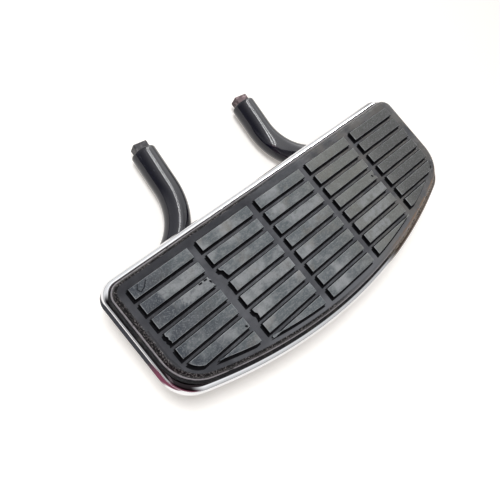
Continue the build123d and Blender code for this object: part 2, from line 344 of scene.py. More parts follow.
@dataclass(frozen=True)
class Strokes(Pattern):
    """Ragged strokes drawn on the board along chains of points, seen from above."""

    chains: tuple[Chain, ...]
    width_mm: float
    ragged_mm: float = 0.7

    def draw(self, shader: Shader) -> NodeSocket:
        """Add the distance to the nearest stroke, wandering by noise, and its range.

        Args:
            shader: the material that takes the nodes.

        Returns:
            The socket of the result.
        """
        grain = shader.add("ShaderNodeTexNoise", {
            "Vector": shader.place, "Scale": WANDER_SCALE, "Detail": WANDER_DETAIL})
        moved = shader.add("ShaderNodeVectorMath", {
            0: grain.outputs["Color"], 1: (self.ragged_mm,) * 3, 2: shader.place}, operation="MULTIPLY_ADD")
        level = shader.add("ShaderNodeVectorMath", {0: moved, 1: (1, 1, 0)}, operation="MULTIPLY")
        half = self.ragged_mm / 2
        nearest = None
        for (ax, ay), (bx, by) in (pair for chain in self.chains for pair in zip(chain, chain[1:])):
            run = (bx - ax, by - ay, 0.0)
            away = shader.add("ShaderNodeVectorMath", {0: level, 1: (ax + half, ay + half, 0.0)},
                              operation="SUBTRACT")
            ahead = shader.add("ShaderNodeVectorMath", {0: away, 1: run}, operation="DOT_PRODUCT")
            held = shader.add("ShaderNodeMapRange", {
                "Value": ahead.outputs["Value"], "From Max": run[0] ** 2 + run[1] ** 2})
            foot = shader.add("ShaderNodeVectorMath", {0: run, "Scale": held}, operation="SCALE")
            gap = shader.add("ShaderNodeVectorMath", {0: away, 1: foot}, operation="DISTANCE")
            nearest = gap.outputs["Value"] if nearest is None else shader.add(
                "ShaderNodeMath", {0: nearest, 1: gap.outputs["Value"]}, operation="MINIMUM")
        return shader.add("ShaderNodeMapRange", {
            "Value": nearest, "From Min": self.width_mm * STROKE_END,
            "From Max": self.width_mm * STROKE_WHOLE}, interpolation_type="SMOOTHSTEP").outputs[0]


@dataclass(frozen=True)
class Stored(Pattern):
    """A share that the mesh stores under a name."""

    name: str

    def draw(self, shader: Shader) -> NodeSocket:
        """Add the attribute."""
        return shader.add("ShaderNodeAttribute", attribute_name=self.name).outputs["Fac"]


@dataclass(frozen=True)
class Layer:
    """A colour or number, with a plain name, laid where all its shares hold and no more than by most."""

    label: str
    value: object
    shares: tuple[Pattern, ...]
    most: float = 1.0


@dataclass(frozen=True)
class Stack(Pattern):
    """Colours, or else numbers, laid over one another from the base up."""

    base: object
    layers: tuple[Layer, ...]
    colours: bool = True

    def draw(self, shader: Shader) -> NodeSocket:
        """Add one mix for each layer.

        Args:
            shader: the material that takes the nodes.

        Returns:
            The socket of the result.
        """
        below, above, result, kind = (6, 7, 2, "RGBA") if self.colours else (2, 3, 0, "FLOAT")
        value = shader.socket(self.base)
        for layer in self.layers:
            amount: object = layer.most
            for share in layer.shares:
                amount = shader.add("ShaderNodeMath", {0: shader.socket(share), 1: amount},
                                    operation="MULTIPLY")
            mixed = shader.add("ShaderNodeMix", {0: amount, below: value, above: shader.socket(layer.value)},
                               label=layer.label, data_type=kind)
            value = mixed.outputs[result]
        return value


@dataclass(frozen=True)
class Finish:
    """One real finish: its colours, its roughness, its relief and how much of a mirror it is.

    The relief holds pairs of a pattern and its height in millimetres, below zero where it is sunk.
    """

    name: str
    colour: Stack
    roughness: Pattern
    relief: tuple[tuple[Pattern, float], ...]
    metallic: float = 0.0
    specular: float | Stack = 0.5

    def material(self) -> Material:
        """Build the material.

        Returns:
            The material.
        """
        shader = Shader(self.name)
        relief: dict[str | int, object] = {}
        for pattern, height_mm in self.relief:
            links = {"Height": shader.socket(pattern), "Distance": abs(height_mm) * MM, **relief}
            relief = {"Normal": shader.add("ShaderNodeBump", links, invert=height_mm < 0)}
        surface = shader.add("ShaderNodeBsdfPrincipled", {
            "Base Color": shader.socket(self.colour), "Metallic": self.metallic,
            "Roughness": shader.socket(self.roughness),
            "Specular IOR Level": shader.socket(self.specular), **relief})
        shader.add("ShaderNodeOutputMaterial", {"Surface": surface})
        return shader.material


# Colours that more than one layer has.
RUBBED = "#8f9193"
DUST = "#746f68"
DARK_RUBBER = "#3b3f46"
SCAR = "#17171a"
GAP = "#0b0b0d"
PALE_SHEET = "#616266"
DARK_SHEET = "#222226"
DARK_ON_CHROME = "#1d191b"

# Where layers lie: levels of the pad, stretches of the board, and marks seen in the photo.
RIB_TOP = Band(Z, -0.9, -0.3)
RIB_FOOT = Band(Z, -2.98, -2.75)
SHOULDER = Band(Z, -3.02, -3.25)
LIP = Band(Z, -6.9, -7.3)
FRONT = Band(X, -90, -140)
FRONT_HALF = Band(X, 15, -45)
OUTBOARD_REAR = (Band(X, 38, 62), Band(Y, -35, -55))
# Painted shadow of each rib on the sheet beside its foot, towards the front and outboard, as a share the mesh
# stores.
PAINTED_RIB_SHADOW = Stored("grime")
PITS = Strokes((
    ((-108.3, -25.6), (-106.6, -25.9)), ((-103.6, -25.5), (-101.9, -25.8)),
    ((-100.4, -28.5), (-99.8, -29.5)), ((-100.7, -68.4), (-100.2, -68.9)),
    ((80.4, -41.2), (80.9, -42.0))), 1.6, 1.2)
RUBBED_TOPS = Strokes((
    ((-122.0, -28.0), (-102.0, -28.0)), ((-78.0, -54.0), (-46.0, -53.0)), ((-80.0, -41.0), (-62.0, -41.0)),
    ((52.0, -54.0), (84.0, -53.0)), ((46.0, -66.5), (76.0, -66.5)), ((-8.0, -28.5), (18.0, -28.5)),
    ((38.0, -79.0), (60.0, -79.0)), ((-132.0, -15.8), (-104.0, -15.8))), 9.0, 6.0)
OUTLINED_MARK = Strokes((
    ((-143.2, -0.9), (-145.6, -3.6), (-144.3, -6.4), (-140.6, -5.0), (-136.8, -1.6)),), 0.9, 0.5)
# Painted shade of a shallow dip in the sheet by the front end, drawn as a dark stroke.
DIP_SHADE = Strokes((((-156.6, -30.0), (-156.8, -52.0), (-153.0, -70.0)),), 1.6)

# Boots have rubbed the tops of the ribs to uneven greys, bluer in front and plainer to the rear. The
# real grain is finer than a pixel, so both of its layers are drawn about a millimetre wide to show.
RIB_COLOURS = Stack("#5e6366", (
    Layer("rubbed patches", RUBBED, (Patches(24, 0.45, 0.68, shift=7),)),
    Layer("streaks along the ribs", RUBBED, (Patches(1.8, 0.45, 0.7, stretch=(3, 1, 1), shift=13),), 0.45),
    Layer("dust", DUST, (Patches(17, 0.52, 0.7, shift=19),), 0.5),
    Layer("less worn front", DARK_RUBBER, (FRONT, Patches(26, 0.62, 0.42, shift=37)), 0.85),
    Layer("neutral grey behind the middle", "#74746f", (Band(X, -10, 50),), 0.7),
    Layer("tops rubbed most", RUBBED, (RUBBED_TOPS, Patches(5, 0.28, 0.6, shift=61)), 0.75),
    Layer("plain rear end", "#555555", (Band(X, 75, 110),), 0.85),
    Layer("pale grain", RUBBED, (Patches(1.1, 0.48, 0.72, detail=2, shift=71),), 0.42),
    Layer("dark grain", DARK_RUBBER, (Patches(1.2, 0.52, 0.72, detail=2, shift=73),), 0.22),
    Layer("pits", SCAR, (PITS,)),
    Layer("outlined mark", SCAR, (OUTLINED_MARK,), 0.8)))

# Old moulded rubber looks grey and dull where it is rubbed and dusty, and still shines on its shoulder. A painted
# shadow blackens the sheet beside each rib, and painted shade darkens it along the inboard edge. The shoulder's
# specks are drawn coarser than the real dust, to show.
TREAD_RUBBER = Finish(
    "worn_moulded_rubber",
    Stack("#434448", (
        Layer("pale patches of the sheet", PALE_SHEET, (Patches(22, 0.4, 0.65),), 0.55),
        Layer("pale outboard strip", PALE_SHEET, (Band(Y, -84, -95),)),
        # Painted shade darkens the sheet along the inboard edge, in the front half.
        Layer("painted shade along the inboard edge", DARK_SHEET, (Band(Y, -4, 2), FRONT_HALF), 0.8),
        Layer("dark front", DARK_SHEET, (FRONT,), 0.48),
        Layer("dusty rear", DUST, (Band(X, 20, 60), Patches(15, 0.3, 0.6, shift=83)), 0.4),
        # Painted shade of the dip by the front end.
        Layer("painted shade of a dip by the front end", SCAR, (DIP_SHADE,), 0.5),
        # Painted shadow of each rib, near black on the sheet.
        Layer("painted shadow beside the ribs", GAP, (PAINTED_RIB_SHADOW,)),
        Layer("walls of the ribs", GAP, (RIB_FOOT,)),
        Layer("tops of the ribs", RIB_COLOURS, (RIB_TOP,)),
        # Pale where the tops round over: partly wear, partly a painted highlight on the rounded rims.
        Layer("pale rims of the tops, worn and highlighted", "#a7aaad", (
            Band(Z, -0.6, -0.35), Band(Z, 0.97, 0.8, by_facing=True),
            Patches(6, 0.35, 0.6, 0.3, 0.9, shift=47))),
        Layer("specked shoulder", Stack("#0b0a0c", (
            Layer("specks", "#a79f9f", (Patches(1.2, 0.46, 0.76, detail=2, shift=3),
                                        Patches(9, 0.3, 0.56, shift=11)), 0.42),)), (SHOULDER, FRONT_HALF)),
        # Painted highlight along the pad's lip, broken up by noise.
        Layer("painted highlight on the lip", "#8b868a", (LIP, Patches(7, 0.2, 0.5, shift=29))),
        Layer("rusty dust to the rear", "#77604f", (
            Band(X, 30, 90), Band(Y, 2, -30), Patches(5, 0.34, 0.58, shift=23), SHOULDER)))),
    Stack(Patches(8, 0.3, 0.7, 0.5, 0.68, shift=31), (Layer("smooth shoulder", 0.24, (SHOULDER,)),),
          colours=False),
    ((Patches(14, 0.2, 0.8, detail=2, shift=5), 0.3), (PITS, -0.5),
     (Patches(0.45, 0.2, 0.8, detail=3), 0.04)),
    # Where the rib shadow is painted, the sheet's reflection is taken away too.
    specular=Stack(0.16, (Layer("tops", 0.32, (RIB_TOP,)), Layer("grime", 0.03, (PAINTED_RIB_SHADOW,))), colours=False))

# Bright chrome over pressed steel is a mirror, hazed in places, with rust freckles to the rear and road dust
# outboard, and painted dark reflections on the front end and beside the pad. The scratches are drawn wider than
# real ones, to show.
CHROME_PLATE = Finish(
    "bright_chrome_plate",
    Stack("#e2e3e6", (
        Layer("rust freckles", "#8a5c34", (
            Patches(1.6, 0.66, 0.71, detail=3, shift=41), Band(X, 20, 90),
            Patches(20, 0.4, 0.6, shift=43))),
        # Painted dark reflection on the upper round of the front end, away from the inboard side.
        Layer("painted dark reflection on the front end", DARK_ON_CHROME, (
            Band(Z, -14.0, -13.5), Band(X, -146, -155), Band(Y, 9, 3))),
        # Painted dark reflection of the black pad, with its shade, over the chrome's flat top.
        Layer("painted dark reflection beside the pad", DARK_ON_CHROME, (Band(Z, -12.62, -12.54),)),
        Layer("road dust", "#54463c", OUTBOARD_REAR),
        Layer("dull rear end", DARK_ON_CHROME, (Band(X, 112, 150),), 0.5))),
    Patches(18, 0.35, 0.75, 0.04, 0.13, detail=5),
    ((Patches(0.25, 0.62, 0.7, detail=2, stretch=(60, 1, 1)), 0.0012),),
    metallic=1.0)

# Gloss black powder coat mirrors the lamps softly. It is scuffed, and rubbed at two spots of the front
# arm. Its orange peel is drawn coarser than the real one, to show.
POWDER_COAT = Finish(
    "gloss_black_powder_coat",
    Stack("#0e0e1a", (
        Layer("scuffs", "#565b5e", (Patches(5, 0.6, 0.74, detail=6, stretch=(1, 2.5, 1), shift=4),), 0.35),
        Layer("rubbed spots", "#565b5e", (Strokes((
            ((-107.0, 21.5), (-108.0, 20.0)), ((-110.0, 12.5), (-111.0, 11.0))), 4.0, 2.5),), 0.8))),
    Patches(12, 0.3, 0.75, 0.05, 0.13, shift=17),
    ((Patches(1.4, 0.2, 0.8, detail=1), 0.008),))

# Bright zinc on fasteners is a pale dull metal with faint blotches.
ZINC_PLATE = Finish(
    "bright_zinc_plate",
    Stack("#b9bab6", (Layer("blotches", "#8f8f86", (Patches(2.5, 0.45, 0.7),)),)),
    Patches(1.2, 0.3, 0.7, 0.28, 0.45, shift=8),
    ((Patches(0.3, 0.2, 0.8, detail=2), 0.005),),
    metallic=1.0)


def bare_steel(name: str, oxide: str, rubbed: str) -> Finish:
    """Give machined steel left uncoated: a matt oxide colour with brighter rubbed patches.

    Args:
        name: the finish's plain name.
        oxide: sRGB hex colour of the oxide.
        rubbed: sRGB hex colour of the rubbed patches.

    Returns:
        The finish.
    """
    return Finish(
        name, Stack(oxide, (Layer("rubbed patches", rubbed, (Patches(3, 0.45, 0.68, detail=5),)),)),
        Patches(1.5, 0.3, 0.7, 0.4, 0.62, shift=6), ((Patches(0.4, 0.2, 0.8), 0.02),), metallic=0.6)


def dusty_black(name: str, paint: str, dust: str, roughness: float, *more: Layer) -> Finish:
    """Give paint or primer on steel, or a moulded black part: dark and matt, under dust and more layers.

    Args:
        name: the finish's plain name.
        paint: sRGB hex colour of the clean surface.
        dust: sRGB hex colour of the dust.
        roughness: middle of the surface's roughness.
        more: layers over the dust.

    Returns:
        The finish.
    """
    return Finish(
        name, Stack(paint, (Layer("dust", dust, (Patches(9, 0.5, 0.75, detail=5),), 0.6), *more)),
        Patches(5, 0.3, 0.7, roughness - ROUGHNESS_BELOW, roughness + ROUGHNESS_ABOVE, shift=2),
        ((Patches(1.1, 0.2, 0.8, detail=2), 0.01),), specular=0.14)


class Finishes:
    """One material for each real finish, shared by the pieces that have it."""

    def __init__(self) -> None:
        """Build every finish once."""
        road_dust = Layer("road dust", "#7a7067", (
            *OUTBOARD_REAR, Patches(1.8, 0.3, 0.6, detail=2, shift=17)))
        self.tread = TREAD_RUBBER.material()
        self.chrome = CHROME_PLATE.material()
        self.coat = POWDER_COAT.material()
        self.front_tang = bare_steel("darkened_bare_steel", "#323134", "#5a5859").material()
        self.rear_tang = bare_steel("oxidised_bare_steel", "#493c3e", "#857578").material()
        self.bracket = dusty_black("satin_black_paint", "#141416", "#4a453f", 0.42).material()
        self.primer = dusty_black("black_primer", "#0e0e10", "#3a3632", 0.55, road_dust).material()
        self.isolator = dusty_black("moulded_isolator_rubber", "#0f0f11", "#39352f", 0.6).material()
        self.nylon = dusty_black("moulded_black_nylon", "#17171a", "#3c3a36", 0.5).material()
        self.zinc = ZINC_PLATE.material()


def linked(name: str, data: ID) -> Object:
    """Make an object and link it to the scene.

    Args:
        name: the object's name.
        data: its mesh, light or camera.

    Returns:
        The object.
    """
    made = bpy.data.objects.new(name, data)
    bpy.context.scene.collection.objects.link(made)
    return made


def smooth(mesh: Mesh) -> None:
    """Shade a mesh smooth but for its sharp edges."""
    mesh.polygons.foreach_set("use_smooth", [True] * len(mesh.polygons))
    mesh.set_sharp_from_angle(angle=SHARP_ANGLE)


def mesh_object(name: str, bm: BMesh, material: Material) -> Object:
    """Make an object of a bmesh and free it.

    Args:
        name: the piece's name.
        bm: closed shell in the part's frame.
        material: its finish.

    Returns:
        The object, smooth but for its sharp edges.
    """
    mesh = bpy.data.meshes.new(name)
    bm.to_mesh(mesh)
    bm.free()
    mesh.materials.append(material)
    smooth(mesh)
    return linked(name, mesh)


def settle(piece: Object, body: Body, slot: Slot, *nodes: str) -> Object:
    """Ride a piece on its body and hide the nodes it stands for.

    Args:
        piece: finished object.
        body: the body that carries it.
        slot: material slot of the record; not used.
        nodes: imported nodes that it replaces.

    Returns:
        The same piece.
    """
    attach(piece, body.value)
    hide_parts(*nodes)
    log.info("%s: %d faces on %s", piece.name, len(piece.data.polygons), body.value)
    return piece


def bake_modifiers(piece: Object) -> Object:
    """Turn the evaluated mesh into a plain one and drop the modifiers.

    Args:
        piece: object with live modifiers.

    Returns:
        The same object with a plain mesh.
    """
    depsgraph = bpy.context.evaluated_depsgraph_get()
    plain = bpy.data.meshes.new_from_object(piece.evaluated_get(depsgraph))
    plain.name = piece.name
    piece.modifiers.clear()
    piece.data = plain
    smooth(plain)
    return piece


def arc_points(centre: Point2, radius: float, start: float, end: float, steps: int,
               whole: bool = False) -> list[Point2]:
    """Walk an arc about a centre from one angle to another, with its last point only when whole."""
    angles = [start + (end - start) * i / steps for i in range(steps + whole)]
    return [(centre[0] + radius * math.cos(a), centre[1] + radius * math.sin(a)) for a in angles]


def sides(polygon: Sequence[Point2]) -> list[tuple[Point2, Point2]]:
    """Give the sides of a polygon as pairs of corners."""
    return list(zip(polygon, [*polygon[1:], polygon[0]]))


@dataclass(frozen=True)
class HalfMoon:
    """Outline with one straight side, one shallow arc and rounded corners, in board millimetres.

    A middle and a stretch move it along the board and run its rear half on.
    """

    half_length: float
    inboard_y: float
    outboard_y: float
    arc_radius: float
    inboard_corner: float
    outboard_corner: float
    middle: float = 0.0
    stretch: float = 0.0

    @property
    def left(self) -> float:
        """The front end's place along the board."""
        return self.middle - self.half_length

    def inset(self, amount: float) -> "HalfMoon":
        """Draw the outline in all round."""
        return self.inset_sides(amount, amount, amount)

    def inset_sides(self, end: float, inboard: float, outboard: float) -> "HalfMoon":
        """Draw the outline in by its own amount at the ends and at each side.

        Args:
            end: millimetres at the front and rear ends and off the corners' radii.
            inboard: millimetres at the inboard edge.
            outboard: millimetres at the outboard arc.

        Returns:
            The smaller outline.
        """
        return replace(self, half_length=self.half_length - end, inboard_y=self.inboard_y - inboard,
                       outboard_y=self.outboard_y + outboard, arc_radius=self.arc_radius - outboard,
                       inboard_corner=self.inboard_corner - end, outboard_corner=self.outboard_corner - end)

    def ring(self, corner_steps: int = 12, arc_steps: int = 72) -> list[Point2]:
        """Walk the outline once, always with the same number of points.

        Args:
            corner_steps: steps in each rounded corner.
            arc_steps: steps in the outboard arc.

        Returns:
            Points, clockwise seen from above, from the middle of the inboard edge.
        """
        length, arc, cut, turn = self.half_length, self.arc_radius, self.inboard_corner, self.outboard_corner
        centre_y = self.outboard_y + arc
        corner_x = length - turn
        corner_y = centre_y - math.sqrt((arc - turn) ** 2 - corner_x ** 2)
        tangent = math.atan2(corner_y - centre_y, corner_x)
        half: list[Point2] = [(0.0, self.inboard_y)]
        half += arc_points((length - cut, self.inboard_y - cut), cut, math.pi / 2, 0.0, corner_steps)
        half.append((length, self.inboard_y - cut))
        half += arc_points((corner_x, corner_y), turn, 0.0, tangent, corner_steps)
        half += arc_points((0.0, centre_y), arc, tangent, -math.pi / 2, arc_steps // 2)
        bottom = [(0.0, self.outboard_y)]
        mirrored = [(-x, y) for x, y in reversed(half[1:])]
        return [(x + self.middle + (self.stretch if x > 0 else 0), y) for x, y in half + bottom + mirrored]


def clip(polygon: Sequence[Point2], limit: Sequence[Point2]) -> list[Point2]:
    """Clip a polygon by a convex one.

    Args:
        polygon: corners in order.
        limit: convex outline, clockwise.

    Returns:
        The corners of the overlap, or none.
    """
    kept = list(polygon)
    for (ax, ay), (bx, by) in sides(limit):
        result: list[Point2] = []
        for p, q in sides(kept):
            off_p, off_q = ((bx - ax) * (y - ay) - (by - ay) * (x - ax) for x, y in (p, q))
            if off_p <= 0:
                result.append(p)
            if off_p * off_q < 0:
                share = off_p / (off_p - off_q)
                result.append((p[0] + share * (q[0] - p[0]), p[1] + share * (q[1] - p[1])))
        kept = result
        if not kept:
            break
    return kept


def signed_area(polygon: Sequence[Point2]) -> float:
    """Give a polygon's area, positive when it runs counterclockwise."""
    return sum(a[0] * b[1] - b[0] * a[1] for a, b in sides(polygon)) / 2


def subdivided(polygon: Sequence[Point2], step: float) -> list[Point2]:
    """Add points so that no side is longer than a step.

    Args:
        polygon: corners in order.
        step: the longest side to leave.

    Returns:
        The corners and the added points.
    """
    points: list[Point2] = []
    for (ax, ay), (bx, by) in sides(polygon):
        count = max(1, math.ceil(math.hypot(bx - ax, by - ay) / step))
        points += [(ax + (bx - ax) * i / count, ay + (by - ay) * i / count) for i in range(count)]
    return points


def loft(bm: BMesh, rings: Sequence[Sequence[Vector]]) -> list[list[BMVert]]:
    """Join rings of equal count with quads.

    Args:
        bm: mesh that takes the faces.
        rings: rings of points in order.

    Returns:
        The rings' vertices.
    """
    rows = [[bm.verts.new(p) for p in ring] for ring in rings]
    for low, high in zip(rows, rows[1:]):
        for i in range(len(low)):
            j = (i + 1) % len(low)
            bm.faces.new((low[i], low[j], high[j], high[i]))
    return rows


@dataclass
class FlatRegion:
    """A flat area between an outline and its holes, cut into triangles that keep named shapes."""

    outline: Sequence[Point2]
    holes: Sequence[Sequence[Point2]] = ()
    marks: dict[str, Sequence[Sequence[Point2]]] = field(default_factory=dict)

    def triangles(self) -> tuple[list[Point2], list[tuple[Sequence[int], set[str]]]]:
        """Cut the area up.

        Returns:
            Points, and triangles with the names of the marked shapes that each lies in.
        """
        names = [""] + ["hole"] * len(self.holes)
        shapes = [self.outline, *self.holes]
        for name, marked in self.marks.items():
            names += [name] * len(marked)
            shapes += marked
        points: list[Vector] = []
        faces: list[list[int]] = []
        for shape in shapes:
            faces.append(list(range(len(points), len(points) + len(shape))))
            turned = shape if signed_area(shape) > 0 else list(reversed(shape))
            points += [Vector(p) for p in turned]
        verts, _, cells, _, _, origins = delaunay_2d_cdt(points, [], faces, 1, 1e-5)
        kept = []
        for cell, inside in zip(cells, origins):
            found = {names[i] for i in inside}
            if "" in found and "hole" not in found:
                kept.append((cell, found))
        return [(v.x, v.y) for v in verts], kept


def fill_flat(bm: BMesh, region: FlatRegion, level: float,
              layers: dict[str, BMLayerItem] | None = None) -> None:
    """Add a level face of the board with its holes.

    Args:
        bm: mesh that takes the faces.
        region: the area in board millimetres.
        level: its height in board millimetres.
        layers: integer face layer that notes each kind of marked shape.
    """
    points, cells = region.triangles()
    verts = [bm.verts.new(p) for p in BOARD.lay(points, level)]
    for cell, found in cells:
        face = bm.faces.new([verts[i] for i in cell])
        for name, layer in (layers or {}).items():
            face[layer] = int(name in found)


def closed(bm: BMesh) -> BMesh:
    """Weld a shell's doubles and point its faces outwards.

    Args:
        bm: the shell.

    Returns:
        The same shell.
    """
    bmesh.ops.remove_doubles(bm, verts=bm.verts, dist=WELD_DISTANCE)
    loose = [v for v in bm.verts if not v.link_faces]
    bmesh.ops.delete(bm, geom=loose, context="VERTS")
    bmesh.ops.recalc_face_normals(bm, faces=bm.faces)
    return bm


def rounded(inset: float, level: float, radius: float, start: float, end: float,
            steps: int = 8) -> list[Point2]:
    """Give a round of a section as insets and levels, by angles of 180 degrees outwards and 90 up."""
    return arc_points((inset, level), radius, math.radians(start), math.radians(end), steps, whole=True)


def loft_section(bm: BMesh, outline: HalfMoon, section: Iterable[Point2],
                 **steps: int) -> list[list[BMVert]]:
    """Loft a section, as pairs of inset and level, round an outline and give the rings' vertices."""
    return loft(bm, [BOARD.lay(outline.inset(inset).ring(**steps), level) for inset, level in section])


# Torn ends of ribs by column from the front and row from the inboard side: shares of the rib's width
# from its inboard side, with the depth torn there.
STRAIGHT_END = ((0.0, 0.0), (1.0, 0.0))
TORN_FRONT_ENDS = {
    (0, 3): ((0.0, 0.7), (0.3, 0.2), (0.45, 1.2), (0.6, 0.5), (0.8, 1.4), (1.0, 0.6)),
    (1, 2): ((0.0, 0.0), (0.3, 0.5), (0.42, 2.6), (0.75, 3.0), (1.0, 3.8)),
    (1, 3): ((0.0, 1.0), (0.5, 1.3), (1.0, 1.1)),
    (1, 5): ((0.0, 0.7), (0.4, 1.0), (0.55, 2.3), (0.8, 2.1), (1.0, 1.2))}
TORN_REAR_ENDS = {
    (0, 2): ((0.0, 2.0), (0.25, 1.6), (0.35, 0.3), (0.55, 1.8), (0.8, 0.9), (1.0, 0.0)),
    (3, 3): ((0.0, 0.0), (0.4, 0.3), (0.55, 1.3), (0.7, 0.2), (1.0, 0.0))}


@dataclass
class Tread:
    """The rubber pad with its raised ribs."""

    outline: HalfMoon
    limit: HalfMoon
    finishes: Finishes
    columns: int = 5
    rows: int = 8
    rib_length: float = 52.08
    last_rib_extra: float = LAST_RIB_EXTRA
    column_gap: float = 8.9
    rib_width: float = 8.17
    row_pitch: float = 12.47
    smallest_area: float = 60.0
    rib_height: float = 3.0
    rib_edge: float = 0.45
    rib_draft: float = 0.7
    # How far the painted shadow beside each rib's foot reaches to the front and outboard, in millimetres.
    shadow_reach: Point2 = (-1.5, -1.2)
    sheet_top: float = -3.0
    foot: float = -9.0
    foot_inset: float = 3.0
    foot_edge: float = 0.4
    sharpest_turn: float = 0.35
    lip_height: float = 1.8
    lip_width: float = 1.0
    lip_round: float = 0.8
    shoulder: float = 3.5
    outline_step: float = 4.0

    def ribs(self, spread: float) -> list[list[Point2]]:
        """Lay out the ribs and clip them by the tread's half moon.

        Args:
            spread: how far a rib's foot stands out past its top all round.

        Returns:
            The feet of the ribs.
        """
        limit = self.limit.inset(-spread).ring()
        found = []
        for column in range(self.columns):
            length = self.rib_length + (self.last_rib_extra if column == self.columns - 1 else 0)
            front = self.limit.left + column * (self.rib_length + self.column_gap) - spread
            rear = front + length + 2 * spread
            for row in range(self.rows):
                high = -row * self.row_pitch + spread
                low = high - self.rib_width - 2 * spread
                rear_end = TORN_REAR_ENDS.get((column, row), STRAIGHT_END)
                front_end = TORN_FRONT_ENDS.get((column, row), STRAIGHT_END)
                corners = [(rear - depth, high + (low - high) * share) for share, depth in rear_end]
                corners += [(front + depth, high + (low - high) * share)
                            for share, depth in reversed(front_end)]
                rib = clip(corners, limit)
                if rib and abs(signed_area(rib)) > self.smallest_area:
                    found.append(subdivided(rib, self.outline_step))
        return found

    def section(self) -> list[Point2]:
        """Give the rim's section from the foot to the sheet.

        Returns:
            Pairs of inset and level.
        """
        level = self.foot + self.lip_height - self.lip_round
        lip = rounded(self.lip_round, level, self.lip_round, 180, 90, 6)
        inset = self.lip_width + self.shoulder
        shoulder = rounded(inset, self.sheet_top - self.shoulder, self.shoulder, 180, 90, 12)
        foot = [(self.foot_inset, self.foot), (self.foot_edge, self.foot), (0.0, self.foot + self.foot_edge)]
        return foot + lip + shoulder

    def build(self) -> Object:
        """Make the pad as one closed rubber shell with raised ribs.

        Returns:
            The finished piece.
        """
        bm = bmesh.new()
        layers = {name: bm.faces.layers.int.new(name) for name in ("rib", "grime")}
        inward = bm.verts.layers.float_vector.new("inward")
        rows = loft_section(bm, self.outline, self.section())
        bm.faces.new(rows[0])
        sheet_outline = self.outline.inset(self.lip_width + self.shoulder).ring()
        feet = self.ribs(self.rib_draft)
        # The sheet beside each rib's foot, moved by the shadow reach, is marked to take the painted shadow.
        shaded = [[(x + self.shadow_reach[0], y + self.shadow_reach[1]) for x, y in foot] for foot in feet]
        region = FlatRegion(sheet_outline, marks={"rib": feet, "grime": shaded})
        fill_flat(bm, region, self.sheet_top, layers)
        closed(bm)
        self.store_inward(bm, layers["rib"], inward)
        pad = mesh_object("tread_pad", bm, self.finishes.tread)
        RibRaiser(self.rib_height, self.rib_edge, self.rib_draft).apply(pad, self.finishes.tread)
        bake_modifiers(pad)
        return settle(pad, Body.BOARD, Slot.TREAD, "rubber_pad")

    def store_inward(self, bm: BMesh, mark: BMLayerItem, inward: BMLayerItem) -> None:
        """Note at each rib's rim the way inwards, so that its walls can lean.

        Args:
            bm: mesh with marked rib faces.
            mark: the faces' rib layer.
            inward: the vertices' vector layer to fill, in metres for each millimetre of inset.
        """
        bm.normal_update()
        for vert in bm.verts:
            normals = []
            for edge in vert.link_edges:
                inside = [f for f in edge.link_faces if f[mark]]
                outside = [f for f in edge.link_faces if not f[mark]]
                if len(inside) == 1 and len(outside) == 1:
                    along = (edge.verts[1].co - edge.verts[0].co).normalized()
                    across = Vector((-along.y, along.x, 0))
                    middle = (edge.verts[0].co + edge.verts[1].co) / 2
                    if across.dot(inside[0].calc_center_median() - middle) < 0:
                        across.negate()
                    normals.append(across)
            if len(normals) >= 2:
                total = normals[0] + normals[1]
                spread = max(self.sharpest_turn, 1 + normals[0].dot(normals[1]))
                vert[inward] = total / spread * MM


